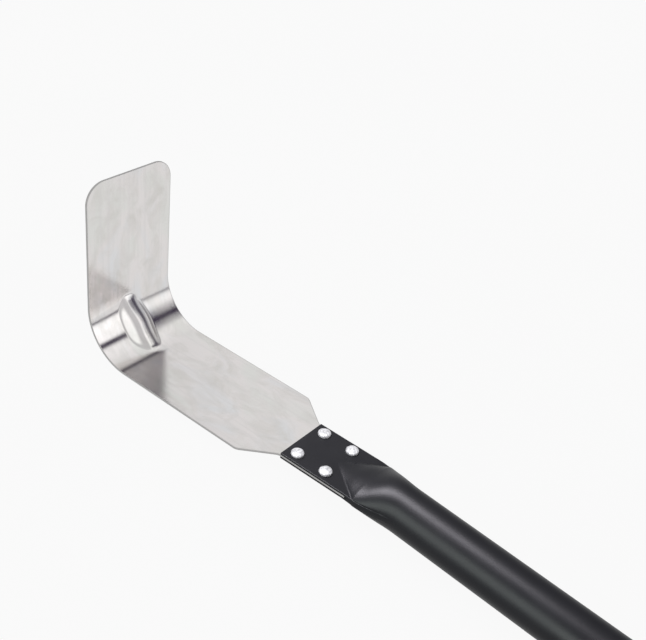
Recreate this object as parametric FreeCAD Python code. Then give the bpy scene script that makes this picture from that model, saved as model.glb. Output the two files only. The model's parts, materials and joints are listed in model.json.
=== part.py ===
"""Long-handled hive scraper: a bent steel blade riveted into the flattened end of a tube handle.

Units are millimetres.  +X runs along the handle towards its hanging end, +Y across the blade and
+Z up.  The tool lies on the floor (z = 0) on the outside of its bend and on the underside of its
handle, with the blade's tip standing up.  x = 0 is the middle of the overall length.

Everything is first built round the "knee", the point of the handle's axis where the flat plane of
the blade's tang meets it.  Blade-plane parts are drawn level and then pitched about the knee.
"""
import os
import math
import FreeCAD
import Part

# ---- driving dimensions -------------------------------------------------------------------------
BLADE_WIDTH = 60.0
BLADE_THICK = 1.2
TIP_STRAIGHT = 76.0        # flat height of the tip above the bend
TIP_CORNER_R = 12.0
BEND_RADIUS = 29.0         # at the middle of the sheet's thickness
STRIP_LENGTH = 86.0        # flat strip between the bend and the taper
TAPER_LENGTH = 18.5
TAPER_CORNER_R = 5.0
TANG_WIDTH = 33.6
TANG_LENGTH = 42.5         # straight part of the tang
TANG_SHOWN = 1.0           # how much of it shows ahead of the handle's tongues

BEAD_START_DEG = 11.0      # stiffening bead pressed into the bend, as angles round the bend
BEAD_END_DEG = 85.0
BEAD_Y = -1.6              # its crest line sits slightly off the middle
BEAD_CREST_R = 3.0
BEAD_FLANK_DEG = 38.0
BEAD_ROOF_DEPTH = 20.0     # the roof shape that forms the bead, larger than the bend
BEAD_ROOF_REACH = 40.0

TUBE_R = 12.7
TUBE_WALL = 1.2
TONGUE_LENGTH = 41.5       # tongues' front edge to the knee
CROWN_START = 16.2         # where the tongues begin to open into the tube, ahead of the knee
FOLD_END = 5.5             # where the opened crown reaches the tongues' side edges
FOLD_CROWN = 6.2           # crown height there, above the flat tongue
FOLD_V_POWER = 0.9         # how straight the two creases of the crown run; 1 is straight
FOLD_POINT = 0.02          # share of the full width at the creases' front point
KNEE_GAP = 0.5             # last pitched section stays this far ahead of the knee
SECTION_STEPS = 20         # spans along each section's upper and lower curve
ROUND_START = 28.0         # where the handle has become round
FORM_STEP = 0.03           # the formed end is slimmer than the plain tube by this much in radius
FOLD_HALF_GAP = 0.48       # half the slit left inside the folded side edges
TUBE_END = 214.0

RIVET_SPACING_X = 18.8
RIVET_SPACING_Y = 22.3
RIVET_FROM_KNEE = 25.3     # centre of the rivet pattern, ahead of the knee
RIVET_SHANK_R = 2.0
RIVET_HOLE_R = 2.05
RIVET_HEAD_R = 3.65
RIVET_HEAD_HEIGHT = 2.3
RIVET_HEAD_SIDE = 0.7      # upright part of the head below its dome
RIVET_TAIL_R = 3.2
RIVET_TAIL_HEIGHT = 1.1

CAP_FLANGE_R = 12.6
CAP_FLANGE_THICK = 3.0
CAP_FLANGE_ROUND = 1.2
CAP_PLUG_LENGTH = 14.0
CAP_PLUG_GAP = 0.05
CAP_TAB_WIDTH = 16.0
CAP_TAB_THICK = 5.0
CAP_TAB_REACH = 16.0       # flange face to the hole's centre
CAP_HOLE_R = 4.0
CAP_TAB_ROUND = 0.8

# ---- derived ------------------------------------------------------------------------------------
HALF_SHEET = BLADE_THICK / 2.0
TONGUE_TOP = HALF_SHEET + TUBE_WALL
BEND_START = TONGUE_LENGTH + TAPER_LENGTH + STRIP_LENGTH + TANG_SHOWN   # bend's tangent line to the knee
BIG = 400.0                # reach of the trimming shapes, well past the whole object
OVERRUN = 1.0              # how far a cutting shape runs past the face it cuts


def vec(x, y, z):
    return FreeCAD.Vector(x, y, z)


def blade_pitch_deg():
    """Pitch that brings the outside of the bend level with the underside of the tube."""
    reach = math.hypot(BEND_RADIUS, BEND_START)
    drop = BEND_RADIUS + HALF_SHEET - TUBE_R
    return math.degrees(math.acos(drop / reach) - math.atan2(BEND_START, BEND_RADIUS))


def pitched(shape):
    """Turn a part drawn in the level blade plane to the blade's pitch about the knee."""
    turned = shape.copy()
    turned.rotate(vec(0, 0, 0), vec(0, 1, 0), -blade_pitch_deg())
    return turned


def box(x_range, y_range, z_range):
    size = [high - low for low, high in (x_range, y_range, z_range)]
    return Part.makeBox(size[0], size[1], size[2], vec(x_range[0], y_range[0], z_range[0]))


def closed_face(edges):
    return Part.Face(Part.Wire(edges))


# ---- blade --------------------------------------------------------------------------------------
def bend_point(radius, angle_deg):
    """Point on an arc about the bend's centre; 0 degrees is the strip end, 90 the tip end."""
    angle = math.radians(angle_deg)
    return vec(-BEND_START - radius * math.sin(angle), 0, BEND_RADIUS - radius * math.cos(angle))


def blade_sheet():
    """Strip, bend and tip as one sheet of full width."""
    outer = BEND_RADIUS + HALF_SHEET
    inner = BEND_RADIUS - HALF_SHEET
    tang_rear = TANG_LENGTH - TONGUE_LENGTH - TANG_SHOWN
    top = BEND_RADIUS + TIP_STRAIGHT
    rear_low = vec(tang_rear, 0, -HALF_SHEET)
    rear_high = vec(tang_rear, 0, HALF_SHEET)
    tip_out = vec(-BEND_START - outer, 0, top)
    tip_in = vec(-BEND_START - inner, 0, top)
    edges = [
        Part.makeLine(rear_low, bend_point(outer, 0)),
        Part.Arc(bend_point(outer, 0), bend_point(outer, 45), bend_point(outer, 90)).toShape(),
        Part.makeLine(bend_point(outer, 90), tip_out),
        Part.makeLine(tip_out, tip_in),
        Part.makeLine(tip_in, bend_point(inner, 90)),
        Part.Arc(bend_point(inner, 90), bend_point(inner, 45), bend_point(inner, 0)).toShape(),
        Part.makeLine(bend_point(inner, 0), rear_high),
        Part.makeLine(rear_high, rear_low),
    ]
    sheet = closed_face(edges).extrude(vec(0, BLADE_WIDTH, 0))
    sheet.translate(vec(0, -BLADE_WIDTH / 2, 0))
    return sheet


def plan_outline():
    """Outline of the blade seen from above: full width, taper, narrow tang."""
    half = BLADE_WIDTH / 2
    tang = TANG_WIDTH / 2
    taper_end = -TONGUE_LENGTH - TANG_SHOWN
    taper_start = taper_end - TAPER_LENGTH
    corners = [(-BIG, -half), (taper_start, -half), (taper_end, -tang), (BIG, -tang),
               (BIG, tang), (taper_end, tang), (taper_start, half), (-BIG, half)]
    points = [vec(x, y, -BIG) for x, y in corners]
    prism = Part.Face(Part.makePolygon(points + points[:1])).extrude(vec(0, 0, 2 * BIG))
    rounded = []
    for edge in prism.Edges:
        middle = edge.CenterOfMass
        if abs(middle.z) < OVERRUN and taper_start - OVERRUN < middle.x < taper_end + OVERRUN:
            rounded.append(edge)
    return prism.makeFillet(TAPER_CORNER_R, rounded)


def tip_outline():
    """Front view of the tip: a tall box whose two top edges are rounded."""
    top = BEND_RADIUS + TIP_STRAIGHT
    half = BLADE_WIDTH / 2
    prism = box((-BIG, BIG), (-half, half), (-BIG, top))
    corners = [edge for edge in prism.Edges
               if abs(edge.CenterOfMass.z - top) < 1e-6 and abs(edge.CenterOfMass.x) < 1e-6]
    return prism.makeFillet(TIP_CORNER_R, corners)


def bead_roof(crest_r):
    """Long rounded roof whose crest runs straight between the bead's two ends.

    crest_r is the crest's rounding radius; a smaller one with the same centre gives the hollow
    behind the bead, one sheet thickness below its outside."""
    inner = BEND_RADIUS - HALF_SHEET
    half_angle = math.radians((BEAD_END_DEG - BEAD_START_DEG) / 2)
    crest = inner * math.cos(half_angle)         # crest line's distance from the bend's centre
    centre = crest + BEAD_CREST_R
    flank = math.radians(BEAD_FLANK_DEG)
    side = crest_r * math.sin(flank)
    shoulder = centre - crest_r * math.cos(flank)
    spread = side + BEAD_ROOF_DEPTH / math.tan(flank)
    left_top = vec(0, -side, -shoulder)
    right_top = vec(0, side, -shoulder)
    left_low = vec(0, -spread, -shoulder - BEAD_ROOF_DEPTH)
    right_low = vec(0, spread, -shoulder - BEAD_ROOF_DEPTH)
    edges = [
        Part.makeLine(left_low, left_top),
        Part.Arc(left_top, vec(0, 0, crest_r - centre), right_top).toShape(),
        Part.makeLine(right_top, right_low),
        Part.makeLine(right_low, left_low),
    ]
    roof = closed_face(edges).extrude(vec(2 * BEAD_ROOF_REACH, 0, 0))
    roof.translate(vec(-BEAD_ROOF_REACH, 0, 0))
    roof.rotate(vec(0, 0, 0), vec(0, 1, 0), (BEAD_START_DEG + BEAD_END_DEG) / 2)
    roof.translate(vec(-BEND_START, BEAD_Y, BEND_RADIUS))
    return roof


def bend_cylinder(radius):
    start = vec(-BEND_START, -BIG, BEND_RADIUS)
    return Part.makeCylinder(radius, 2 * BIG, start, vec(0, 1, 0))


def with_bead(sheet):
    """Press the bead: add the rib on the hollow side of the bend and open its back."""
    rib = bead_roof(BEAD_CREST_R).common(bend_cylinder(BEND_RADIUS))
    return sheet.fuse(rib).cut(bead_roof(BEAD_CREST_R - BLADE_THICK))


def rivet_places():
    """Rivet names and their centres in the level blade plane, ahead of the knee."""
    places = {}
    for row, x_sign in (("front", -1), ("rear", 1)):
        for side, y_sign in (("left", 1), ("right", -1)):
            x = -RIVET_FROM_KNEE + x_sign * RIVET_SPACING_X / 2
            places["rivet_%s_%s" % (row, side)] = (x, y_sign * RIVET_SPACING_Y / 2)
    return places


def rivet_holes():
    holes = []
    for x, y in rivet_places().values():
        holes.append(Part.makeCylinder(RIVET_HOLE_R, 4 * TONGUE_TOP, vec(x, y, -2 * TONGUE_TOP)))
    return Part.makeCompound(holes)


def blade():
    flat = with_bead(blade_sheet()).common(plan_outline()).common(tip_outline())
    return pitched(flat.cut(rivet_holes()).removeSplitter())


# ---- handle tube --------------------------------------------------------------------------------
def smooth_step(value):
    value = min(1.0, max(0.0, value))
    return value * value * (3 - 2 * value)


def crown_half_width(station):
    """Half width of the opened crown: a rounded V that reaches the tongue's sides at FOLD_END."""
    run = (station + CROWN_START) / (FOLD_END + CROWN_START)
    return TANG_WIDTH / 2 * min(1.0, max(FOLD_POINT, run)) ** FOLD_V_POWER


def section_point(station, turn, inset):
    """One point of the upper half of a handle section.

    turn runs 0..1 from the +Y side to the -Y side; inset is 0 outside and the wall inside."""
    half = TANG_WIDTH / 2 - inset
    base = TONGUE_TOP if inset == 0 else FOLD_HALF_GAP
    y = half * math.cos(math.pi * turn)
    run = min(1.0, max(0.0, (station + CROWN_START) / (FOLD_END + CROWN_START)))
    width = crown_half_width(station) * half / (TANG_WIDTH / 2)
    z = base + FOLD_CROWN * run * max(0.0, 1 - (y / width) ** 2)
    radius = TUBE_R - inset - FORM_STEP
    low = math.asin(base / radius)
    angle = low + (math.pi - 2 * low) * turn
    blend = smooth_step((station - FOLD_END) / (ROUND_START - FOLD_END))
    y_round = radius * math.cos(angle)
    z_round = radius * math.sin(angle)
    return (1 - blend) * y + blend * y_round, (1 - blend) * z + blend * z_round


def side_points(station, inset):
    """Middle of a section's short side; it bulges out to the round tube's radius."""
    blend = smooth_step((station - FOLD_END) / (ROUND_START - FOLD_END))
    return (1 - blend) * (TANG_WIDTH / 2 - inset) + blend * (TUBE_R - inset - FORM_STEP)


def section_wire(station, inset):
    """Closed section of the handle: top, side, bottom and side curves, square to its middle line."""
    if station < 0:
        tilt = math.radians(blade_pitch_deg())
    else:
        tilt = 0.0
    along = vec(math.cos(tilt), 0, math.sin(tilt))
    up = vec(-math.sin(tilt), 0, math.cos(tilt))

    def place(y, z):
        return along * station + vec(0, y, 0) + up * z

    top = [section_point(station, i / SECTION_STEPS, inset) for i in range(SECTION_STEPS + 1)]
    upper = [place(y, z) for y, z in top]
    lower = [place(y, -z) for y, z in reversed(top)]
    bulge = side_points(station, inset)
    edges = []
    for points in (upper, [upper[-1], place(-bulge, 0), lower[0]],
                   lower, [lower[-1], place(bulge, 0), upper[0]]):
        curve = Part.BSplineCurve()
        spacing = [i / (len(points) - 1) for i in range(len(points))]
        curve.interpolate(Points=points, Parameters=spacing)
        edges.append(curve.toShape())
    return Part.Wire(edges)


def even_stations(first, last, spans):
    """Evenly spaced stations from first to last."""
    return [first + (last - first) * i / spans for i in range(spans + 1)]


def transition(inset):
    """Solid that runs from the flat tongues to the round tube."""
    stations = even_stations(-CROWN_START, -KNEE_GAP, 3) + even_stations(FOLD_END, ROUND_START, 4)
    wires = [section_wire(station, inset) for station in stations]
    return Part.makeLoft(wires, True, False)


def round_bar(radius, extra):
    """Cylinder over the round stretch of the handle, with extra length at the rear."""
    length = TUBE_END - ROUND_START + extra
    return Part.makeCylinder(radius, length, vec(ROUND_START, 0, 0), vec(1, 0, 0))


def handle_tube():
    half = TANG_WIDTH / 2
    plate = pitched(box((-TONGUE_LENGTH, -CROWN_START), (-half, half), (-TONGUE_TOP, TONGUE_TOP)))
    outside = transition(0.0).fuse(round_bar(TUBE_R, 0.0)).fuse(plate)
    inside = transition(TUBE_WALL).fuse(round_bar(TUBE_R - TUBE_WALL, OVERRUN))
    slot = pitched(box((-TONGUE_LENGTH - OVERRUN, 0.0), (-BIG, BIG), (-HALF_SHEET, HALF_SHEET)))
    return outside.cut(inside).cut(slot).cut(pitched(rivet_holes()))


# ---- rivets -------------------------------------------------------------------------------------
def rivet(x, y):
    """Domed head above the upper tongue, shank through all three layers, flat set tail below."""
    dome = RIVET_HEAD_HEIGHT - RIVET_HEAD_SIDE
    dome_r = (RIVET_HEAD_R ** 2 + dome ** 2) / (2 * dome)
    top = TONGUE_TOP + RIVET_HEAD_HEIGHT
    ball = Part.makeSphere(dome_r, vec(0, 0, top - dome_r))
    head = Part.makeCylinder(RIVET_HEAD_R, 2 * RIVET_HEAD_HEIGHT, vec(0, 0, TONGUE_TOP)).common(ball)
    shank = Part.makeCylinder(RIVET_SHANK_R, 2 * TONGUE_TOP, vec(0, 0, -TONGUE_TOP))
    bevel = RIVET_TAIL_HEIGHT / 3
    bevel_low = -TONGUE_TOP - RIVET_TAIL_HEIGHT
    disc = Part.makeCylinder(RIVET_TAIL_R, RIVET_TAIL_HEIGHT - bevel, vec(0, 0, bevel_low + bevel))
    cone = Part.makeCone(RIVET_TAIL_R - bevel, RIVET_TAIL_R, bevel, vec(0, 0, bevel_low))
    body = shank.fuse([head, disc, cone]).removeSplitter()
    body.translate(vec(x, y, 0))
    return pitched(body)


# ---- end cap ------------------------------------------------------------------------------------
def end_cap():
    """Plastic plug in the tube's open end, with a rounded tab to hang the tool by."""
    along = vec(1, 0, 0)
    plug_r = TUBE_R - TUBE_WALL - CAP_PLUG_GAP
    plug = Part.makeCylinder(plug_r, CAP_PLUG_LENGTH, vec(TUBE_END - CAP_PLUG_LENGTH, 0, 0), along)
    flange = Part.makeCylinder(CAP_FLANGE_R, CAP_FLANGE_THICK, vec(TUBE_END, 0, 0), along)
    outer_face = TUBE_END + CAP_FLANGE_THICK
    rim = [edge for edge in flange.Edges
           if abs(edge.CenterOfMass.x - outer_face) < 1e-6 and len(edge.Vertexes) == 1]
    flange = flange.makeFillet(CAP_FLANGE_ROUND, rim[:1])
    hole_x = outer_face + CAP_TAB_REACH
    half_tab = CAP_TAB_WIDTH / 2
    half_thick = CAP_TAB_THICK / 2
    web = box((outer_face - OVERRUN, hole_x), (-half_tab, half_tab), (-half_thick, half_thick))
    round_end = Part.makeCylinder(half_tab, CAP_TAB_THICK, vec(hole_x, 0, -half_thick))
    tab = web.fuse(round_end).removeSplitter()
    rims = [edge for edge in tab.Edges if abs(abs(edge.CenterOfMass.z) - half_thick) < 1e-6
            and edge.CenterOfMass.x > outer_face]
    tab = tab.makeFillet(CAP_TAB_ROUND, rims)
    hole = Part.makeCylinder(CAP_HOLE_R, 4 * half_thick, vec(hole_x, 0, -2 * half_thick))
    return plug.fuse([flange, tab]).removeSplitter().cut(hole)


# ---- whole tool ---------------------------------------------------------------------------------
def all_nodes():
    nodes = {"blade": blade(), "handle_tube": handle_tube(), "end_cap": end_cap()}
    for name, (x, y) in rivet_places().items():
        nodes[name] = rivet(x, y)
    return nodes


def main():
    nodes = all_nodes()
    front = nodes["blade"].optimalBoundingBox(False, False).XMin
    rear = TUBE_END + CAP_FLANGE_THICK + CAP_TAB_REACH + CAP_TAB_WIDTH / 2
    to_origin = vec(-(front + rear) / 2, 0, TUBE_R)
    os.makedirs("parts", exist_ok=True)
    for name, built in nodes.items():
        shape = built.Solids[0]
        shape.translate(to_origin)
        shape.exportStep("parts/%s.step" % name)
        print(name, "valid" if shape.isValid() else "broken", round(shape.Volume, 1), "mm3")


main()
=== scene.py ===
"""Looks of the long-handled hive scraper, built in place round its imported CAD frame.

Lengths in the tables of dimensions are millimetres; meshes are made in metres in the row frame.
Flat parts are drawn in the "blade plane": station runs along the handle from the knee (the point
of the handle's axis where the tang's plane meets it, negative towards the blade), y runs across,
and lift is the height above the plane.
"""

import json
import math

import bmesh
import bpy
import numpy as np
from mathutils import Matrix, Vector, noise


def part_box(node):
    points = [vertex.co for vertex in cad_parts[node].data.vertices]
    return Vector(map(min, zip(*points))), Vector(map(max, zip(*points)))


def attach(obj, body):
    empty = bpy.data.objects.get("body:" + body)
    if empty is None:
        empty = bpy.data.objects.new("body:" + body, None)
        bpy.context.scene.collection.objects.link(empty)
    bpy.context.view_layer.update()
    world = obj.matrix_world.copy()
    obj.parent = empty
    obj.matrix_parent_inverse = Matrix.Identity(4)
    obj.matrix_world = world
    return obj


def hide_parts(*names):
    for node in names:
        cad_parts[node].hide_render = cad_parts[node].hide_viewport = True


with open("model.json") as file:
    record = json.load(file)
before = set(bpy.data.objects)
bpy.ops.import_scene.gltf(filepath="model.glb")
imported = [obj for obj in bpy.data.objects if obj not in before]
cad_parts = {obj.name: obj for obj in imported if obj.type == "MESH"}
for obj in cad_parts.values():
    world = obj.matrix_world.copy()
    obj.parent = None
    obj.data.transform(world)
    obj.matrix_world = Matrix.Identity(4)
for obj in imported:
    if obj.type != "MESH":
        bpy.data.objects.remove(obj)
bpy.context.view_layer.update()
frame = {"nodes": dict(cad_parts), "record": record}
MM = 0.001
UV_UNITS = 10               # texture units per metre of sheet

# ---- dimensions, mm -----------------------------------------------------------------------------
BLADE_LOW, BLADE_HIGH = (np.array(corner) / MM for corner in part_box("blade"))
TUBE_REAR_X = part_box("handle_tube")[1][0] / MM
GRIP = next(mount for mount in frame["record"]["mounts"] if mount["name"] == "grip")
TUBE_R = GRIP["dims"]["r_mm"]
AXIS_Z = GRIP["pos_m"][2] / MM
ROUND_LENGTH = GRIP["dims"]["length_mm"]

HALF_WIDTH = (BLADE_HIGH[1] - BLADE_LOW[1]) / 2
HALF_SHEET = 0.6           # half the sheet's thickness
TUBE_WALL = 1.2
TANG_PAST_KNEE = 1.0       # the tang ends this far behind the knee, inside the tube
TONGUE_TOP = HALF_SHEET + TUBE_WALL
EDGE = 0.28                # rounding of the sheet's cut edges

TANG_HALF = 16.8
TONGUE_LENGTH = 41.5
TAPER_START = 61.0         # run along the sheet from the knee towards the tip
TAPER_END = 42.5
TAPER_ROUND = 1.6
CLOSE_BY = 3.0             # rows are close together this far round the taper's corners
BEND_CLOSE_BY = 6.0        # and this far round the bend's ends
RIM_LEVEL = 0.4            # how far the cut edges' painted shade and rougher finish creep on to the sheet's faces
RIM_TURNS = 9              # steps round the rim, from face to face
BLADE_COLUMNS = 151
BEND_START = 147.0
BEND_RADIUS = 29.0
BEND_END = BEND_START + BEND_RADIUS * math.pi / 2
TIP_TOP = BEND_END + 76.0
TIP_CORNER_R = 12.0

BEAD_START = math.radians(10.5)
BEAD_END = math.radians(84.5)
BEAD_Y = -1.6               # its crest line sits slightly off the middle
BEAD_SWAY = 0.35            # hand-pressed unevenness of its crest line
BEAD_WIDTHS = (9.0, 10.4)   # from the crest line to its foot on the -Y and the +Y side
BEAD_CREST = 2.3            # half width over which the crest is rounded
BEAD_POWER = 1.85           # how flat the crest and how steep the flanks are
BEAD_FILLET = 1.6           # height over which its foot blends into the sheet
BEAD_SWAY_RATE = 8.0        # how fast that unevenness waves along the bend
BEAD_SWAY_PHASE = 0.8
BEAD_MARGIN = 0.2           # the sheet is left plain this many radians outside the bend
BEAD_CUTOFF = 1.2           # its shape is worked out up to this many radians from its middle
DRAW_HEIGHT = 0.45          # how far pressing it drew the sheet round it inwards
DRAW_WIDTH = 14.0           # its reach across the sheet
DRAW_ANGLE = 0.55           # its reach round the bend, in radians

CROWN_START = 17.3          # where the tongues begin to open, ahead of the knee
FOLD_END = 5.5              # where the crown reaches the tongues' side edges
CROWN_LEAST = 0.02          # share of its full width that the crown starts with
CREASE_SOFT = 0.02          # rounding of the crown's two creases
ARCH_POWER = 0.8            # fullness of the crown's arch
ROUND_START = 28.0          # where the handle has become round
TONGUE_EDGE = 0.35          # rounding of the tongues' long edges
TONGUE_FRONT_EDGE = 0.3
KNEE_REACH = 4.0            # the handle turns level over this far before and after the knee
SLIT_END = 2.5              # the slit between the tongues closes over this length
TOP_STEPS = 72              # spans across the upper and the lower half of each section
TUBE_STEPS = 96             # spans round the tube's rim and the cap's plug
HANDLE_SHARP = 50           # degrees from which its edges are drawn sharp
TUBE_RIM = 0.4              # length of the turned rim at the tube's rear end
TUBE_RIM_BREAK = (0.1, 0.12)    # a point on it, this far from the tube's end and its outside
BORE_EDGE = 0.3             # chamfer of the bore
BORE_SHOWN = 20.0           # the bore is drawn from this far behind the round tube's start
TUBE_END = ROUND_START + ROUND_LENGTH
KNEE_X = TUBE_REAR_X - TUBE_END
PITCH = (math.acos((BEND_RADIUS + HALF_SHEET - TUBE_R) / math.hypot(BEND_RADIUS, BEND_START))
         - math.atan2(BEND_START, BEND_RADIUS))

RIVET_SPACING_X = 18.8
RIVET_SPACING_Y = 22.3
RIVET_FROM_KNEE = 25.3
RIVET_SHANK_R = 2.0
RIVET_HEAD_R = 3.52
RIVET_HEAD_HEIGHT = 2.3
RIVET_HEAD_SIDE = 0.7
RIVET_TAIL_R = 3.2
RIVET_TAIL_HEIGHT = 1.1
RIVET_SEAT_GAP = 0.02
RIVET_HEAD_FOOT = (0.12, 0.35)      # how far in and how high its lower corner is turned
RIVET_TAIL_TOP = (0.1, 0.3)
RIVET_TAIL_FOOT = ((0.15, 0.3), (0.6, 0.04))
RIVET_TAIL_FLAT = 0.3               # radius of the flat in the middle of the tail
RIVET_POLE = 0.04                   # angle from the crown of the head at which its mesh starts
RIVET_SWELL = 0.9                   # powers that make the head fuller than a ball's cap
RIVET_FULLNESS = 0.8
RIVET_STRUCK_FROM = 0.1             # the hammer marks start this high above the tongue
RIVET_STEPS = 56                    # spans round a rivet
RIVET_SHARP = 60                    # degrees from which its edges are drawn sharp
RIVET_DENT = 0.16                   # depth of the hammer marks on the head
RIVET_FINE_DENT = 0.06
RIVET_DENT_SCALE = 0.55             # how close together they are, across and in height
RIVET_DENT_RISE = 0.5
RIVET_FINE_SCALE = 1.3
RIVET_DENT_OUT = 0.8                # share of a mark that goes outwards and upwards
RIVET_DENT_UP = 0.7

CAP_FLANGE_R = 12.6
CAP_FLANGE_THICK = 3.0
CAP_FLANGE_EDGE = 1.2
CAP_PLUG_LENGTH = 14.0
CAP_PLUG_GAP = 0.05
CAP_PLUG_CHAMFER = 1.0
CAP_FLANGE_BREAK = 0.3
CAP_MIDDLE_FLAT = 0.5
CAP_TAB_SINK = 0.6         # how far the tab's root reaches into the flange
CAP_TAB_HALF = 8.0
CAP_TAB_HALF_THICK = 2.5
CAP_TAB_REACH = 16.0
CAP_TAB_EDGE = 0.8
CAP_HOLE_R = 4.0
CAP_HOLE_EDGE = 0.4
CAP_TAB_STEPS = 120
CAP_SHARP = 40

# steel colours
STEEL_GREENISH = (0.692, 0.692, 0.670)
STEEL_ROSY = (0.725, 0.698, 0.690)
STEEL_BLUISH = (0.692, 0.692, 0.700)
STEEL_SMUDGED = (0.610, 0.595, 0.570)
STEEL_BANDED = (0.640, 0.622, 0.616)
# the cut edges' darker colour is painted shade, standing in for the dark that their rounding reflects
STEEL_CUT_EDGE_SHADE = (0.400, 0.395, 0.390)

# darker and paler shade of the other materials
PAINT_SHADES = ((0.0015, 0.0016, 0.0024), (0.0023, 0.0024, 0.0034))
PLASTIC_SHADES = ((0.012, 0.012, 0.013), (0.020, 0.020, 0.021))
FLOOR_SHADES = ((0.020, 0.020, 0.020), (0.030, 0.030, 0.030))
RIVET_PALE = (0.90, 0.90, 0.92)
RIVET_DULL = (0.78, 0.78, 0.80)
# darker colour for the hollows between the hammer flats: painted shade
RIVET_HOLLOW_SHADE = (0.56, 0.56, 0.58)

# studio tones as (angle, tone) pairs; the angle runs in degrees from straight up towards the
# handle's end, and each list holds for one band of directions from -Y (near) to +Y (far)
NEAR_SIDE = [(-180, 0.85), (-60, 0.90), (0, 1.10), (30, 1.40), (70, 1.45), (91, 1.30), (180, 0.95)]
DIM_SIDE = [(-180, 0.80), (-60, 0.85), (-30, 0.93), (0, 0.85), (30, 0.72), (70, 0.74), (91, 0.65),
            (93, 0.93), (180, 0.90)]
OPEN_SIDE = [(-180, 0.80), (-60, 0.85), (-30, 0.93), (0, 1.05), (30, 1.25), (66, 1.35), (78, 1.10),
             (85, 0.85), (91, 0.60), (93, 0.93), (180, 0.90)]
NARROW_CARD = [(-180, 0.85), (-60, 0.85), (-30, 0.93), (-8, 1.02), (8, 1.12), (19, 1.22),
               (25, 1.05), (29, 0.26), (32, 0.03), (36, 0.04), (38, 0.44), (41, 1.15), (44, 1.45),
               (58, 1.46), (70, 1.52), (80, 1.38), (83, 1.00), (86, 0.24), (91, 0.24), (93, 0.93),
               (180, 0.90)]
WIDE_CARD = [(-180, 0.85), (-60, 0.93), (-30, 0.97), (-5, 1.09), (5, 1.07), (10, 0.76), (17, 0.38),
             (24, 0.15), (31, 0.04), (41, 0.05), (48, 0.28), (55, 0.62), (62, 1.02), (70, 1.22),
             (78, 1.15), (84, 0.85), (86, 0.45), (91, 0.40), (93, 0.93), (180, 0.90)]
FAR_CARD = [(-180, 0.70), (-60, 0.72), (-30, 0.66), (0, 0.40), (20, 0.18), (40, 0.12), (60, 0.16),
            (72, 0.40), (84, 0.60), (91, 0.50), (93, 0.93), (180, 0.90)]
FAR_SIDE = [(-180, 0.70), (-60, 0.65), (0, 0.60), (40, 0.62), (91, 0.60), (93, 0.93), (180, 0.90)]
# each list takes over from the one before while the direction's Y part rises between two values
STUDIO_BANDS = ((DIM_SIDE, -0.82, -0.60), (OPEN_SIDE, 0.16, 0.32), (NARROW_CARD, 0.33, 0.42),
                (WIDE_CARD, 0.54, 0.59), (FAR_CARD, 0.66, 0.80), (FAR_SIDE, 0.86, 0.94))
SHADE_HUE = (0.014, 0.0, 0.034)     # violet cast of the studio's dark parts
# the soft panel: where it starts, is full, ends being full and ends, for each direction part
TOP_PANEL = ((-0.62, -0.48, -0.33, -0.19), (-0.50, -0.28, 0.08, 0.34), (0.0, 0.2, 0.9, 2.0))
TOP_PANEL_TONE = 0.5

# soft boxes in metres and watts: two for the painted handle and its cap, one for the rivets
TOP_BOX = {"place": (-0.41, -0.05, 0.78), "aim": (0.01, 0.0, 0.02), "size": (0.36, 0.62),
           "power": 24.0, "tint": (1.0, 0.965, 1.04)}
SIDE_BOX = {"place": (-0.15, -0.78, 0.24), "aim": (0.01, 0.0, 0.02), "size": (1.20, 0.54),
            "power": 13.5, "tint": (0.96, 1.05, 1.01)}
RIVET_BOX = {"place": (-0.25, -0.35, 0.70), "aim": (-0.05, 0.0, 0.02), "size": (0.90, 0.90),
             "power": 5.2, "tint": (1.0, 1.0, 1.02)}
PALE = 0.955                # glow of the backdrop
FLOOR_GLOW = 0.93           # glow of the floor, which reflects a little light besides
FLOOR_HALF = 6.0            # metres
DOME_RADIUS = 9.0

# the camera in the row frame: degrees, and millimetres for the rest
CAMERA_AZIMUTH = 31.944
CAMERA_ELEVATION = 36.44
CAMERA_ROLL = -12.598
CAMERA_AIM = (-136.15, 102.05, 0.0)
CAMERA_DISTANCE = 618.83
CAMERA_LENS = 54.153
CAMERA_SENSOR = 36.0


# ---- mesh helpers -------------------------------------------------------------------------------
def to_row(station, y, lift, pitch=PITCH):
    """Blade-plane or handle coordinates in mm to row-frame metres."""
    station, y, lift = np.broadcast_arrays(station, y, lift)
    x = station * math.cos(pitch) - lift * math.sin(pitch) + KNEE_X
    z = station * math.sin(pitch) + lift * math.cos(pitch) + AXIS_Z
    return np.stack([x, y, z], axis=-1) * MM


def grid_faces(rows, columns, offset=0, wrap=False):
    """Quads of a grid whose points are stored row by row."""
    faces = []
    last = columns if wrap else columns - 1
    for i in range(rows - 1):
        for j in range(last):
            k = (j + 1) % columns
            a = offset + i * columns
            faces.append((a + j, a + k, a + columns + k, a + columns + j))
    return faces


def make_object(name, points, faces, uvs=None):
    """Mesh object from points in metres; uvs, if given, has one pair per point."""
    mesh = bpy.data.meshes.new(name)
    mesh.from_pydata([tuple(p) for p in points], [], faces)
    mesh.update()
    if uvs is not None:
        layer = mesh.uv_layers.new(name="UVMap")
        flat = np.empty(len(mesh.loops), dtype=np.int32)
        mesh.loops.foreach_get("vertex_index", flat)
        layer.data.foreach_set("uv", np.asarray(uvs, dtype=np.float32)[flat].ravel())
    mesh.shade_smooth()
    made = bpy.data.objects.new(name, mesh)
    bpy.context.scene.collection.objects.link(made)
    return made


def smooth_step(value):
    """0 to 1 with level ends, for values from 0 to 1."""
    value = np.clip(value, 0.0, 1.0)
    return value * value * (3 - 2 * value)


def soft_positive(value, reach):
    """max(value, 0) with its corner rounded over +-reach."""
    blend = (value + reach) ** 2 / (4 * reach)
    return np.where(value < -reach, 0.0, np.where(value > reach, value, blend))


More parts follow.
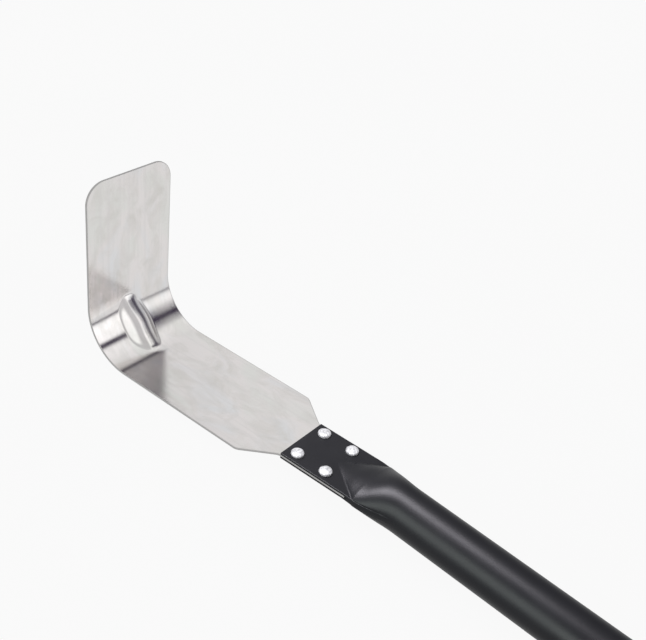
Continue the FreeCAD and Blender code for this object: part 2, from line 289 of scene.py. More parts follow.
# ---- blade --------------------------------------------------------------------------------------
def sheet_half_width(run, inset):
    """Half width of the blade at a run from the knee, pulled in by inset."""
    slope = (HALF_WIDTH - TANG_HALF) / (TAPER_START - TAPER_END)
    rise = (soft_positive(run - TAPER_END, TAPER_ROUND)
            - soft_positive(run - TAPER_START, TAPER_ROUND))
    half = TANG_HALF + slope * rise - inset
    into_corner = np.clip(run - (TIP_TOP - TIP_CORNER_R), 0.0, TIP_CORNER_R - inset)
    corner = TIP_CORNER_R - inset - np.sqrt((TIP_CORNER_R - inset) ** 2 - into_corner ** 2)
    return half - corner


def bead_height(run, y):
    """How far the pressed bead lifts the sheet towards the inside of the bend."""
    angle = (run - BEND_START) / BEND_RADIUS
    inner = BEND_RADIUS - HALF_SHEET
    depth = inner * (1 - math.cos((BEAD_END - BEAD_START) / 2))
    sway = BEAD_Y + BEAD_SWAY * np.sin(BEAD_SWAY_RATE * angle + BEAD_SWAY_PHASE)
    across = np.sqrt((y - sway) ** 2 + BEAD_CREST ** 2) - BEAD_CREST
    flank = np.where(y < sway, *BEAD_WIDTHS) - BEAD_CREST
    roof = inner - depth + depth * (across / flank) ** BEAD_POWER
    away = np.clip(angle - (BEAD_START + BEAD_END) / 2, -BEAD_CUTOFF, BEAD_CUTOFF)
    height = soft_positive(inner - roof / np.cos(away), BEAD_FILLET)
    drawn = DRAW_HEIGHT * np.exp(-((y - BEAD_Y) / DRAW_WIDTH) ** 2 - (away / DRAW_ANGLE) ** 4)
    near_bend = (angle > -BEAD_MARGIN) & (angle < math.pi / 2 + BEAD_MARGIN)
    return np.where(near_bend, height + drawn, 0.0)


def sheet_point(run, y, lift):
    """Point of the bent sheet: lift is measured from its middle towards the inside of the bend."""
    run, y, lift = np.broadcast_arrays(run, y, lift)
    lift = lift + bead_height(run, y)
    angle = np.clip((run - BEND_START) / BEND_RADIUS, 0.0, math.pi / 2)
    before = np.minimum(run, BEND_START)
    after = np.maximum(run - BEND_END, 0.0)
    station = -before - (BEND_RADIUS - lift) * np.sin(angle)
    level = BEND_RADIUS - (BEND_RADIUS - lift) * np.cos(angle) + after
    return to_row(station, y, level)


def blade_runs():
    """Places of the mesh rows along the sheet, close together where it curves."""
    stretches = ((TAPER_END - CLOSE_BY, 8), (TAPER_START + CLOSE_BY, 40),
                 (BEND_START - BEND_CLOSE_BY, 24), (BEND_END + BEND_CLOSE_BY, 170),
                 (TIP_TOP - TIP_CORNER_R, 18))
    start = -TANG_PAST_KNEE + EDGE
    runs = []
    for end, rows in stretches:
        runs.append(np.linspace(start, end, rows, endpoint=False))
        start = end
    corner = (TIP_CORNER_R - EDGE) * np.sin(np.linspace(0, math.pi / 2, 25))
    return np.concatenate(runs + [start + corner])


def build_blade():
    """Both faces of the sheet and the rounded rim between them."""
    runs = blade_runs()
    across = np.linspace(-1, 1, BLADE_COLUMNS)
    half = sheet_half_width(runs, EDGE)
    run_grid = np.repeat(runs[:, None], len(across), axis=1)
    y_grid = half[:, None] * across[None, :]
    rows, columns = run_grid.shape
    rim_run = np.concatenate([run_grid[:, 0], run_grid[-1, 1:], run_grid[-2::-1, -1],
                              run_grid[0, -2:0:-1]])
    rim_y = np.concatenate([y_grid[:, 0], y_grid[-1, 1:], y_grid[-2::-1, -1], y_grid[0, -2:0:-1]])
    along = np.stack([np.roll(rim_run, -1) - np.roll(rim_run, 1),
                      np.roll(rim_y, -1) - np.roll(rim_y, 1)], axis=1)
    along /= np.linalg.norm(along, axis=1)[:, None]
    out_run, out_y = along[:, 1], -along[:, 0]
    if np.sum(out_run * rim_run) < 0:
        out_run, out_y = -out_run, -out_y

    points = [sheet_point(run_grid, y_grid, HALF_SHEET).reshape(-1, 3)]
    points.append(sheet_point(run_grid, y_grid, -HALF_SHEET).reshape(-1, 3))
    uvs = [np.stack([run_grid.ravel(), y_grid.ravel()], axis=1)] * 2
    count = rows * columns
    faces = grid_faces(rows, columns)
    faces += [tuple(reversed(face)) for face in grid_faces(rows, columns, count)]
    index = np.arange(count).reshape(rows, columns)
    rim_index = np.concatenate([index[:, 0], index[-1, 1:], index[-2::-1, -1], index[0, -2:0:-1]])
    rings = [list(rim_index)]
    turns = np.linspace(0, math.pi, RIM_TURNS)[1:-1]
    flat = HALF_SHEET - EDGE
    total = 2 * count
    for turn in turns:
        push = EDGE * math.sin(turn)
        straight = 0.0 if math.isclose(turn, math.pi / 2) else math.copysign(flat, math.cos(turn))
        lift = EDGE * math.cos(turn) + straight
        points.append(sheet_point(rim_run + push * out_run, rim_y + push * out_y, lift))
        uvs.append(np.stack([rim_run, rim_y], axis=1))
        rings.append(list(range(total, total + len(rim_run))))
        total += len(rim_run)
    rings.append(list(rim_index + count))
    for upper, lower in zip(rings[:-1], rings[1:]):
        for j in range(len(upper)):
            k = (j + 1) % len(upper)
            faces.append((upper[j], lower[j], lower[k], upper[k]))
    blade = make_object("blade_sheet", np.concatenate(points), faces,
                        np.concatenate(uvs) * MM * UV_UNITS)
    # cut-edge mask: it rises over the rim and reaches a little on to the faces; the steel puts its
    # painted shade and its rougher finish there
    rim = np.concatenate([np.zeros(2 * count), np.repeat(np.sin(turns), len(rim_run))])
    rim[np.concatenate([rim_index, rim_index + count])] = RIM_LEVEL
    blade.data.attributes.new("cut_edge", "FLOAT", "POINT").data.foreach_set("value", rim)
    pressed = smooth_step(bead_height(run_grid, y_grid).ravel() / BEAD_FILLET)
    pressed = np.concatenate([pressed, pressed, np.zeros(total - 2 * count)])
    blade.data.attributes.new("pressed", "FLOAT", "POINT").data.foreach_set("value", pressed)
    recalculate_normals(blade)
    return blade


def recalculate_normals(target):
    """Point every face outwards."""
    work = bmesh.new()
    work.from_mesh(target.data)
    bmesh.ops.remove_doubles(work, verts=work.verts, dist=1e-7)
    bmesh.ops.recalc_face_normals(work, faces=work.faces)
    work.to_mesh(target.data)
    work.free()


# ---- handle tube --------------------------------------------------------------------------------
def crown_lift(station, y):
    """Rise of the opened crown above the flat tongue: its two creases fade out to the front."""
    opened = smooth_step((station + CROWN_START) / (ROUND_START + CROWN_START))
    share = np.clip((station + CROWN_START) / (FOLD_END + CROWN_START), CROWN_LEAST, 1.0)
    width = TANG_HALF * share
    arch = soft_positive(1 - (y / width) ** 2, CREASE_SOFT) ** ARCH_POWER
    return (TUBE_R - TONGUE_TOP) * opened * arch


def half_section(station):
    """Upper half of the handle's outside at a station, from its +Y side to its -Y side."""
    close = smooth_step(station / SLIT_END)
    foot = HALF_SHEET * (1 - close)
    soft = TONGUE_EDGE
    side = [(TANG_HALF, foot), (TANG_HALF, TONGUE_TOP - soft)]
    turns = np.linspace(0, math.pi / 2, 5)[1:]
    side += [(TANG_HALF - soft * (1 - math.cos(t)), TONGUE_TOP - soft * (1 - math.sin(t)))
             for t in turns]
    turn = np.linspace(0, 1, TOP_STEPS + 1)[1:-1]
    reach = TANG_HALF - soft
    y_top = reach * np.cos(math.pi * turn)
    top = np.stack([y_top, TONGUE_TOP + crown_lift(station, y_top)], axis=1)
    side = np.array(side)
    mirrored = side[::-1] * np.array([-1, 1])
    flat = np.concatenate([side, top, mirrored])

    # the same points on the round tube, into which the flat outline blends
    low = math.asin(TONGUE_TOP / TUBE_R)
    side_angles = low * side[:, 1] / TONGUE_TOP
    angles = np.concatenate([side_angles, low + (math.pi - 2 * low) * turn,
                             math.pi - side_angles[::-1]])
    angles[0], angles[-1] = (foot / TONGUE_TOP) * low, math.pi - (foot / TONGUE_TOP) * low
    circle = TUBE_R * np.stack([np.cos(angles), np.sin(angles)], axis=1)
    blend = smooth_step((station - FOLD_END) / (ROUND_START - FOLD_END))
    return (1 - blend) * flat + blend * circle


def handle_half(sign):
    """Upper (sign 1) or lower (sign -1) half of the handle: points, faces and uvs."""
    soft = TONGUE_FRONT_EDGE
    front = -TONGUE_LENGTH
    stations = np.concatenate([
        [front + soft],
        np.linspace(front + 2, -CROWN_START, 10),
        np.linspace(-CROWN_START, ROUND_START, 90)[1:],
        np.linspace(ROUND_START, TUBE_END - TUBE_RIM, 40)[1:],
    ])
    loops = []
    for turn in np.linspace(0, math.pi / 2, 4)[:-1]:
        shrink = soft * (1 - math.sin(turn))
        loop = half_section(stations[0])
        loop[:, 1] = np.minimum(loop[:, 1], TONGUE_TOP - shrink)
        loop[:, 1] = np.maximum(loop[:, 1], HALF_SHEET)
        loop[:, 0] = np.clip(loop[:, 0], -TANG_HALF + shrink, TANG_HALF - shrink)
        loops.append((front + soft * (1 - math.cos(turn)), loop))
    for station in stations:
        loops.append((station, half_section(station)))
    points, uvs = [], []
    for station, loop in loops:
        pitch = PITCH * (1 - smooth_step((station + KNEE_REACH) / (2 * KNEE_REACH)))
        points.append(to_row(station, loop[:, 0], sign * loop[:, 1], pitch))
        uvs.append(np.stack([np.full(len(loop), station), loop[:, 0]], axis=1))
    columns = len(loops[0][1])
    faces = grid_faces(len(loops), columns)
    # the tongue's inner face, up to the knee, and its front end
    closed = sum(1 for station, _ in loops if station <= 0)
    for i in range(closed - 1):
        faces.append((i * columns, (i + 1) * columns, (i + 2) * columns - 1, (i + 1) * columns - 1))
    faces.append(tuple(range(columns)))
    return np.concatenate(points), faces, np.concatenate(uvs)


def build_handle():
    """Tongues, crown and round tube, with the tube's open rear end and its bore."""
    points, faces, uvs, offset = [], [], [], 0
    for sign in (1, -1):
        half_points, half_faces, half_uvs = handle_half(sign)
        points.append(half_points)
        faces += [tuple(i + offset for i in face) for face in half_faces]
        uvs.append(half_uvs)
        offset += len(half_points)
    turns = np.linspace(0, 2 * math.pi, TUBE_STEPS, endpoint=False)
    inner = TUBE_R - TUBE_WALL
    rim_back, rim_in = TUBE_RIM_BREAK
    profile = [(TUBE_END - TUBE_RIM, TUBE_R), (TUBE_END - rim_back, TUBE_R - rim_in),
               (TUBE_END, TUBE_R - TUBE_RIM), (TUBE_END, inner + BORE_EDGE),
               (TUBE_END - BORE_EDGE, inner), (ROUND_START + BORE_SHOWN, inner)]
    for x, radius in profile:
        points.append(to_row(x, radius * np.cos(turns), radius * np.sin(turns), 0.0))
        uvs.append(np.stack([np.full(len(turns), x), turns * radius], axis=1))
    faces += grid_faces(len(profile), len(turns), offset, wrap=True)
    faces.append(tuple(offset + (len(profile) - 1) * len(turns) + i for i in range(len(turns))))
    handle = make_object("handle_body", np.concatenate(points), faces,
                         np.concatenate(uvs) * MM * UV_UNITS)
    recalculate_normals(handle)
    handle.data.set_sharp_from_angle(angle=math.radians(HANDLE_SHARP))
    return handle


# ---- rivets -------------------------------------------------------------------------------------
def rivet_places():
    """Station and y of each rivet, by name."""
    places = {}
    for row, x_sign in (("front", -1), ("rear", 1)):
        for side, y_sign in (("left", 1), ("right", -1)):
            x = -RIVET_FROM_KNEE + x_sign * RIVET_SPACING_X / 2
            places["rivet_%s_%s" % (row, side)] = (x, y_sign * RIVET_SPACING_Y / 2)
    return places


def rivet_profile():
    """Radius and height pairs from the crown of the head to the middle of the tail."""
    dome = RIVET_HEAD_HEIGHT - RIVET_HEAD_SIDE
    top = TONGUE_TOP + RIVET_HEAD_HEIGHT
    outline = []
    for turn in np.linspace(RIVET_POLE, math.pi / 2, 16):
        drop = 1 - math.cos(turn) ** RIVET_FULLNESS
        outline.append((RIVET_HEAD_R * math.sin(turn) ** RIVET_SWELL, top - dome * drop))
    seat = TONGUE_TOP + RIVET_SEAT_GAP
    foot_in, foot_high = RIVET_HEAD_FOOT
    tail_in, tail_low = RIVET_TAIL_TOP
    outline += [(RIVET_HEAD_R, TONGUE_TOP + foot_high), (RIVET_HEAD_R - foot_in, seat),
                (RIVET_SHANK_R, seat), (RIVET_SHANK_R, -seat), (RIVET_TAIL_R - tail_in, -seat),
                (RIVET_TAIL_R, -TONGUE_TOP - tail_low)]
    low = -TONGUE_TOP - RIVET_TAIL_HEIGHT
    for inset, height in RIVET_TAIL_FOOT:
        outline.append((RIVET_TAIL_R - inset, low + height))
    outline.append((RIVET_TAIL_FLAT, low))
    return outline


def build_rivet(name, x, y):
    """Hand-set rivet: its head is a little uneven, with small flats from the hammer."""
    outline = rivet_profile()
    turns = np.linspace(0, 2 * math.pi, RIVET_STEPS, endpoint=False)
    points = []
    for radius, height in outline:
        for turn in turns:
            px, py = radius * math.cos(turn), radius * math.sin(turn)
            dent = noise.noise(Vector((px * RIVET_DENT_SCALE + x, py * RIVET_DENT_SCALE + y,
                                       height * RIVET_DENT_RISE)))
            fine = noise.noise(Vector((px * RIVET_FINE_SCALE - y, py * RIVET_FINE_SCALE + x, height)))
            struck = height >= TONGUE_TOP + RIVET_STRUCK_FROM
            change = RIVET_DENT * dent + RIVET_FINE_DENT * fine if struck else 0.0
            grow = 1 + change / RIVET_HEAD_R * RIVET_DENT_OUT
            points.append((x + px * grow, y + py * grow, height + change * RIVET_DENT_UP))
    points = np.array(points)
    placed = to_row(points[:, 0], points[:, 1], points[:, 2])
    count = len(turns)
    faces = grid_faces(len(outline), count, wrap=True)
    faces.append(tuple(range(count)))
    faces.append(tuple((len(outline) - 1) * count + i for i in reversed(range(count))))
    rivet = make_object(name, placed, faces, points[:, :2] * MM * UV_UNITS)
    recalculate_normals(rivet)
    rivet.data.set_sharp_from_angle(angle=math.radians(RIVET_SHARP))
    return rivet


# ---- end cap ------------------------------------------------------------------------------------
def build_cap_plug():
    """Flange and plug as one turned body."""
    rear = TUBE_END + CAP_FLANGE_THICK
    plug_r = TUBE_R - TUBE_WALL - CAP_PLUG_GAP
    soft = CAP_FLANGE_EDGE
    outline = [(rear, CAP_MIDDLE_FLAT)]
    for turn in np.linspace(0, math.pi / 2, 8):
        outline.append((rear - soft * (1 - math.cos(turn)),
                        CAP_FLANGE_R - soft * (1 - math.sin(turn))))
    outline += [(TUBE_END + CAP_FLANGE_BREAK, CAP_FLANGE_R),
                (TUBE_END, CAP_FLANGE_R - CAP_FLANGE_BREAK), (TUBE_END, plug_r),
                (TUBE_END - CAP_PLUG_LENGTH + CAP_PLUG_CHAMFER, plug_r),
                (TUBE_END - CAP_PLUG_LENGTH, plug_r - CAP_PLUG_CHAMFER)]
    turns = np.linspace(0, 2 * math.pi, TUBE_STEPS, endpoint=False)
    points = [to_row(x, radius * np.cos(turns), radius * np.sin(turns), 0.0) for x, radius in outline]
    faces = grid_faces(len(outline), len(turns), wrap=True)
    faces.append(tuple(range(len(turns))))
    faces.append(tuple((len(outline) - 1) * len(turns) + i for i in range(len(turns))))
    plug = make_object("cap_plug", np.concatenate(points), faces)
    recalculate_normals(plug)
    plug.data.set_sharp_from_angle(angle=math.radians(CAP_SHARP))
    return plug


def tab_reach(turn):
    """Distance from the hanging hole's centre to the tab's outline at an angle."""
    if math.cos(turn) >= 0:
        return CAP_TAB_HALF
    side = CAP_TAB_HALF / max(abs(math.sin(turn)), 1e-6)
    root = (CAP_TAB_REACH + CAP_TAB_SINK) / abs(math.cos(turn))
    return min(side, root)


def build_cap_tab():
    """Rounded tab with the hanging hole."""
    centre = TUBE_END + CAP_FLANGE_THICK + CAP_TAB_REACH
    turns = np.linspace(0, 2 * math.pi, CAP_TAB_STEPS, endpoint=False)
    outer = np.array([tab_reach(turn) for turn in turns])
    soft, hole_soft, thick = CAP_TAB_EDGE, CAP_HOLE_EDGE, CAP_TAB_HALF_THICK
    rings = []
    for turn in np.linspace(0, math.pi / 2, 6):
        rings.append((CAP_HOLE_R + hole_soft * (1 - math.cos(turn)), None,
                      thick - hole_soft * (1 - math.sin(turn))))
    for turn in np.linspace(math.pi / 2, 0, 6):
        rings.append((None, soft * (1 - math.cos(turn)), thick - soft * (1 - math.sin(turn))))
    for hole, inset, height in list(reversed(rings)):
        rings.append((hole, inset, -height))
    points = []
    for hole, inset, height in rings:
        radius = np.full(len(turns), hole) if hole is not None else outer - inset
        points.append(to_row(centre + radius * np.cos(turns), radius * np.sin(turns), height, 0.0))
    faces = grid_faces(len(rings), len(turns), wrap=True)
    last = (len(rings) - 1) * len(turns)
    for j in range(len(turns)):
        k = (j + 1) % len(turns)
        faces.append((last + j, last + k, k, j))
    tab = make_object("cap_tab", np.concatenate(points), faces)
    recalculate_normals(tab)
    tab.data.set_sharp_from_angle(angle=math.radians(CAP_SHARP))
    return tab


# ---- materials ----------------------------------------------------------------------------------
class Shader:
    """Small helper that adds and joins the nodes of one material, or of a given node tree."""

    def __init__(self, name=None, tree=None):
        if tree is None:
            self.material = bpy.data.materials.new(name)
            self.material.use_nodes = True
            tree = self.material.node_tree
            self.surface = tree.nodes["Principled BSDF"]
        self.tree = tree

    def node(self, kind, **settings):
        """New node of a kind, with its own settings."""
        made = self.tree.nodes.new(kind)
        for key, value in settings.items():
            setattr(made, key, value)
        return made

    def link(self, source, target):
        """Join an output to an input."""
        self.tree.links.new(source, target)

    def mapped(self, coordinate, scale):
        """Texture coordinates stretched by scale."""
        source = self.node("ShaderNodeTexCoord")
        mapping = self.node("ShaderNodeMapping")
        mapping.inputs["Scale"].default_value = scale
        self.link(source.outputs[coordinate], mapping.inputs["Vector"])
        return mapping.outputs["Vector"]

    def noise(self, vector, scale, detail=2.0, roughness=0.5, distortion=0.0):
        """Noise around 0.5 over texture coordinates."""
        made = self.node("ShaderNodeTexNoise")
        made.inputs["Scale"].default_value = scale
        made.inputs["Detail"].default_value = detail
        made.inputs["Roughness"].default_value = roughness
        made.inputs["Distortion"].default_value = distortion
        self.link(vector, made.inputs["Vector"])
        return made.outputs["Fac"]

    def maths(self, operation, first, second):
        """Sum, product or the like of two numbers or outputs."""
        made = self.node("ShaderNodeMath", operation=operation)
        for socket, value in zip(made.inputs, (first, second)):
            if isinstance(value, float):
                socket.default_value = value
            else:
                self.link(value, socket)
        return made.outputs["Value"]

    def remap(self, value, low, high, out_low, out_high, smooth=False):
        """Move a value from one range to another, held at both ends."""
        made = self.node("ShaderNodeMapRange")
        if smooth:
            made.interpolation_type = "SMOOTHSTEP"
        made.inputs["From Min"].default_value = low
        made.inputs["From Max"].default_value = high
        made.inputs["To Min"].default_value = out_low
        made.inputs["To Max"].default_value = out_high
        self.link(value, made.inputs["Value"])
        return made.outputs["Result"]

    def mix_colour(self, factor, first, second):
        """Blend of two colours or outputs."""
        made = self.node("ShaderNodeMix", data_type="RGBA")
        for socket, value in ((made.inputs[6], first), (made.inputs[7], second)):
            if isinstance(value, tuple):
                socket.default_value = (*value, 1.0)
            else:
                self.link(value, socket)
        self.link(factor, made.inputs[0])
        return made.outputs[2]

    def bump(self, height, strength, distance, previous=None):
        """Normal of a bumpy surface, over a previous one if given."""
        made = self.node("ShaderNodeBump")
        made.inputs["Strength"].default_value = strength
        made.inputs["Distance"].default_value = distance
        self.link(height, made.inputs["Height"])
        if previous is not None:
            self.link(previous, made.inputs["Normal"])
        return made.outputs["Normal"]


def steel_material():
    """Half-bright stainless sheet: lengthwise brushing, tinted smudges, rougher ground edges darkened
    with painted shade.
    """
    shade = Shader("brushed_steel")
    streak = shade.noise(shade.mapped("UV", (5.0, 300.0, 1.0)), 1.0, detail=4.0, roughness=0.6)
    band = shade.noise(shade.mapped("UV", (1.3, 42.0, 1.0)), 1.0, detail=3.0, distortion=0.3)
    smudge = shade.noise(shade.mapped("UV", (3.4, 5.5, 1.0)), 1.5, detail=4.0, roughness=0.6,
                         distortion=0.9)
    hue = shade.noise(shade.mapped("UV", (2.3, 4.2, 1.0)), 1.3, detail=2.0, distortion=0.6)
    tint = shade.mix_colour(shade.remap(hue, 0.34, 0.52, 0.0, 1.0), STEEL_GREENISH, STEEL_ROSY)
    tint = shade.mix_colour(shade.remap(hue, 0.54, 0.68, 0.0, 1.0), tint, STEEL_BLUISH)
    colour = shade.mix_colour(shade.remap(smudge, 0.46, 0.78, 0.0, 1.0), tint, STEEL_SMUDGED)
    colour = shade.mix_colour(shade.remap(band, 0.48, 0.75, 0.0, 0.6), colour, STEEL_BANDED)
    rim = shade.node("ShaderNodeAttribute", attribute_name="cut_edge").outputs["Fac"]
    # painted shade: the cut edges and a thin line beside them are darkened; the rougher finish given
    # to the same edges below is real
    colour = shade.mix_colour(shade.remap(rim, 0.05, 0.5, 0.0, 1.0), colour, STEEL_CUT_EDGE_SHADE)
    shade.link(colour, shade.surface.inputs["Base Color"])
    shade.surface.inputs["Metallic"].default_value = 1.0
    rough = shade.remap(smudge, 0.3, 0.75, 0.10, 0.17)
    pressed = shade.node("ShaderNodeAttribute", attribute_name="pressed").outputs["Fac"]
    rough = shade.maths("ADD", rough, shade.remap(pressed, 0.0, 1.0, 0.0, 0.05))
    rough = shade.maths("MAXIMUM", rough, shade.remap(rim, 0.0, 0.5, 0.0, 0.45))
    shade.link(rough, shade.surface.inputs["Roughness"])
    fine = shade.bump(streak, 0.07, 0.0002)
    wavy = shade.noise(shade.mapped("UV", (1.2, 1.6, 1.0)), 1.0, detail=1.0)
    shade.link(shade.bump(wavy, 0.08, 0.004, fine), shade.surface.inputs["Normal"])
    return shade.material


def paint_material():
    """Satin black powder coat: very fine grain, slightly uneven gloss."""
    shade = Shader("black_powder_coat")
    place = shade.mapped("Object", (1.0, 1.0, 1.0))
    grain = shade.noise(place, 2600.0, detail=2.0)
    patch = shade.noise(place, 38.0, detail=3.0)
    colour = shade.mix_colour(patch, *PAINT_SHADES)
    shade.link(colour, shade.surface.inputs["Base Color"])
    shade.link(shade.remap(patch, 0.3, 0.7, 0.36, 0.43), shade.surface.inputs["Roughness"])
    shade.surface.inputs["Specular IOR Level"].default_value = 0.16
    shade.link(shade.bump(grain, 0.12, 0.00012), shade.surface.inputs["Normal"])
    return shade.material


def rivet_material():
    """Pale hammered aluminium: small flats from the hammer, dull random patches, and painted shade in
    the hollows between the flats.
    """
    shade = Shader("hammered_aluminium")
    place = shade.mapped("Object", (1.0, 1.0, 1.0))
    cells = shade.node("ShaderNodeTexVoronoi", feature="SMOOTH_F1")
    cells.inputs["Scale"].default_value = 900.0
    cells.inputs["Smoothness"].default_value = 0.4
    shade.link(place, cells.inputs["Vector"])
    flats = cells.outputs["Distance"]
    dirt = shade.noise(place, 700.0, detail=3.0)
    pale = shade.mix_colour(shade.remap(dirt, 0.4, 0.65, 0.0, 1.0), RIVET_PALE, RIVET_DULL)
    # painted shade: the hollows between the hammer flats are darkened
    colour = shade.mix_colour(shade.remap(flats, 0.35, 0.75, 0.0, 1.0), pale, RIVET_HOLLOW_SHADE)
    shade.link(colour, shade.surface.inputs["Base Color"])
    shade.surface.inputs["Metallic"].default_value = 0.7
    shade.link(shade.remap(dirt, 0.3, 0.7, 0.50, 0.62), shade.surface.inputs["Roughness"])
    shade.link(shade.bump(flats, 0.2, 0.0004), shade.surface.inputs["Normal"])
    return shade.material


def plastic_material():
    """Matt black moulded plastic with a fine spark-eroded texture."""
    shade = Shader("moulded_plastic")
    place = shade.mapped("Object", (1.0, 1.0, 1.0))
    grain = shade.noise(place, 1500.0, detail=3.0)
    patch = shade.noise(place, 60.0, detail=2.0)
    colour = shade.mix_colour(patch, *PLASTIC_SHADES)
    shade.link(colour, shade.surface.inputs["Base Color"])
    shade.link(shade.remap(patch, 0.3, 0.7, 0.46, 0.58), shade.surface.inputs["Roughness"])
    shade.link(shade.bump(grain, 0.35, 0.0002), shade.surface.inputs["Normal"])
    return shade.material


def floor_material():
    """Pale self-lit table: it stays even in tone and takes almost no shadow."""
    shade = Shader("pale_floor")
    place = shade.mapped("Object", (1.0, 1.0, 1.0))
    patch = shade.noise(place, 3.0, detail=1.0)
    colour = shade.mix_colour(patch, *FLOOR_SHADES)
    shade.link(colour, shade.surface.inputs["Base Color"])
    shade.surface.inputs["Roughness"].default_value = 0.9
    shade.surface.inputs["Specular IOR Level"].default_value = 0.0
    shade.surface.inputs["Emission Color"].default_value = (1.0, 1.0, 1.0, 1.0)
    shade.surface.inputs["Emission Strength"].default_value = FLOOR_GLOW
    return shade.material


# ---- studio -------------------------------------------------------------------------------------
def build_floor():
    """Level table the tool lies on."""
    steps = np.linspace(-FLOOR_HALF, FLOOR_HALF, 13)
    points = [(x, y, 0.0) for x in steps for y in steps]
    floor = make_object("studio_floor", points, grid_faces(len(steps), len(steps)))
    floor.data.materials.append(floor_material())


def tone_ramp(shade, place, stops):
    """Grey tones over an angle in degrees; the dark ones take a little of SHADE_HUE."""
    made = shade.node("ShaderNodeValToRGB")
    shade.link(place, made.inputs["Fac"])
    elements = made.color_ramp.elements
    while len(elements) < len(stops):
        elements.new(0.5)
    for element, (degrees, tone) in zip(elements, stops):
        element.position = (degrees + 180) / 360
        shade_left = max(0.0, 1.0 - tone)
        element.color = (tone + SHADE_HUE[0] * shade_left, tone + SHADE_HUE[1] * shade_left,
                         tone + SHADE_HUE[2] * shade_left, 1.0)
    return made.outputs["Color"]


def light_panel(shade, parts, spans):
    """Soft-edged panel; spans give (outer, inner, inner, outer) limits per direction part."""
    level = None
    for part, (low, low_full, high_full, high) in zip(parts, spans):
        for start, full in ((low, low_full), (high, high_full)):
            side = shade.remap(part, start, full, 0.0, 1.0, smooth=True)
            level = side if level is None else shade.maths("MULTIPLY", level, side)
    return level


def build_backdrop():
    """Pale dome seen only directly, so that every view has the same plain background."""
    rows, columns = 25, 48
    pole = math.pi / 2 - 0.01
    points = []
    for rise in np.linspace(-pole, pole, rows):
        for turn in np.linspace(0, 2 * math.pi, columns, endpoint=False):
            level = DOME_RADIUS * math.cos(rise)
            points.append((level * math.cos(turn), level * math.sin(turn),
                           DOME_RADIUS * math.sin(rise)))
    dome = make_object("studio_backdrop", points, grid_faces(rows, columns, wrap=True))
    shade = Shader("pale_backdrop")
    shade.surface.inputs["Base Color"].default_value = (0.0, 0.0, 0.0, 1.0)
    shade.surface.inputs["Specular IOR Level"].default_value = 0.0
    shade.surface.inputs["Emission Color"].default_value = (1.0, 1.0, 1.0, 1.0)
    shade.surface.inputs["Emission Strength"].default_value = PALE
    dome.data.materials.append(shade.material)
    dome.visible_diffuse = False
    dome.visible_glossy = False
    dome.visible_transmission = False
    dome.visible_shadow = False


def build_world():
    """White studio with dark cards: grey tones over the angle, blended across, and a soft panel."""
    world = bpy.data.worlds.new("studio")
    bpy.context.scene.world = world
    world.use_nodes = True
    shade = Shader(tree=world.node_tree)
    background = world.node_tree.nodes["Background"]
    place = shade.node("ShaderNodeTexCoord")
    split = shade.node("ShaderNodeSeparateXYZ")
    shade.link(place.outputs["Generated"], split.inputs["Vector"])
    along, across, up = split.outputs
    swing = shade.maths("ARCTAN2", along, up)
    turn = shade.remap(swing, -math.pi, math.pi, 0.0, 1.0)
    tones = tone_ramp(shade, turn, NEAR_SIDE)
    for stops, start, full in STUDIO_BANDS:
        share = shade.remap(across, start, full, 0.0, 1.0)
        tones = shade.mix_colour(share, tones, tone_ramp(shade, turn, stops))
    panel = light_panel(shade, (along, across, up), TOP_PANEL)
    glow = shade.node("ShaderNodeVectorMath", operation="SCALE")
    glow.inputs[0].default_value = (TOP_PANEL_TONE, TOP_PANEL_TONE, TOP_PANEL_TONE)
    shade.link(panel, glow.inputs["Scale"])
    total = shade.node("ShaderNodeVectorMath", operation="ADD")
    shade.link(tones, total.inputs[0])
    shade.link(glow.outputs["Vector"], total.inputs[1])
    shade.link(total.outputs["Vector"], background.inputs["Color"])
    background.inputs["Strength"].default_value = 1.0


def area_light(name, box, receivers):
    """Soft box that lights only the pieces in receivers."""
    lamp = bpy.data.lights.new(name, "AREA")
    lamp.shape = "RECTANGLE"
    lamp.size, lamp.size_y = box["size"]
    lamp.energy = box["power"]
    lamp.color = box["tint"]
    light = bpy.data.objects.new(name, lamp)
    bpy.context.scene.collection.objects.link(light)
    light.location = box["place"]
    shine = Vector(box["aim"]) - Vector(box["place"])
    light.rotation_euler = shine.to_track_quat("-Z", "Y").to_euler()
    light.light_linking.receiver_collection = receivers


def collect(name, pieces):
    """Collection of the pieces that one light falls on."""
    made = bpy.data.collections.new(name)
    for piece in pieces:
        made.objects.link(piece)
    return made


def build_lights(dark_pieces, rivets):
    """Soft boxes for the painted and plastic pieces, and one for the rivets."""
    painted = collect("dark_pieces", dark_pieces)
    area_light("softbox_top", TOP_BOX, painted)
    area_light("softbox_side", SIDE_BOX, painted)
    area_light("softbox_rivets", RIVET_BOX, collect("rivets", rivets))


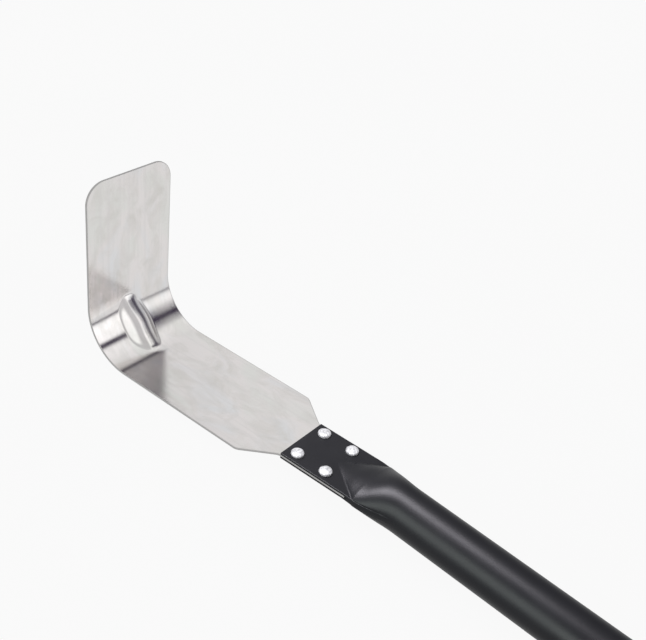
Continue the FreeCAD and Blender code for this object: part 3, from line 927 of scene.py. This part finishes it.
def build_camera():
    """Camera at its distance from CAMERA_AIM, tilted by its roll."""
    data = bpy.data.cameras.new("camera")
    data.sensor_width = CAMERA_SENSOR
    data.lens = CAMERA_LENS
    data.clip_start = 0.01
    made = bpy.data.objects.new("camera", data)
    azimuth, elevation = math.radians(CAMERA_AZIMUTH), math.radians(CAMERA_ELEVATION)
    back = Vector((math.sin(azimuth) * math.cos(elevation), -math.cos(azimuth) * math.cos(elevation),
                   math.sin(elevation)))
    level_right = Vector((math.cos(azimuth), math.sin(azimuth), 0.0))
    level_up = back.cross(level_right)
    roll = math.radians(CAMERA_ROLL)
    up = level_up * math.cos(roll) + level_right * math.sin(roll)
    right = level_right * math.cos(roll) - level_up * math.sin(roll)
    turn = Matrix((right, up, back)).transposed()
    place = (Vector(CAMERA_AIM) + back * CAMERA_DISTANCE) * MM
    made.matrix_world = Matrix.Translation(place) @ turn.to_4x4()
    bpy.context.scene.collection.objects.link(made)
    bpy.context.scene.camera = made


# ---- assembly -----------------------------------------------------------------------------------
def finish_piece(piece, node, material):
    """Give a piece its material, hang it under the root body and hide the CAD node it replaces."""
    piece.data.materials.append(material)
    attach(piece, "root")
    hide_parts(node)


def hide_cad():
    """Leave the CAD solids out of the picture; the pieces replace all of them."""
    for node in frame["nodes"].values():
        node.hide_render = True
        node.hide_viewport = True


def main():
    """Make every piece, the studio and the camera."""
    finish_piece(build_blade(), "blade", steel_material())
    handle = build_handle()
    finish_piece(handle, "handle_tube", paint_material())
    dark_pieces = [handle]
    rivets = []
    metal = rivet_material()
    for name, (x, y) in rivet_places().items():
        rivet = build_rivet(name.replace("rivet", "rivet_set"), x, y)
        finish_piece(rivet, name, metal)
        rivets.append(rivet)
    plastic = plastic_material()
    for part in (build_cap_plug(), build_cap_tab()):
        finish_piece(part, "end_cap", plastic)
        dark_pieces.append(part)
    hide_cad()
    build_floor()
    build_backdrop()
    build_world()
    build_lights(dark_pieces, rivets)
    build_camera()
    bpy.context.scene.view_settings.view_transform = "Standard"


main()
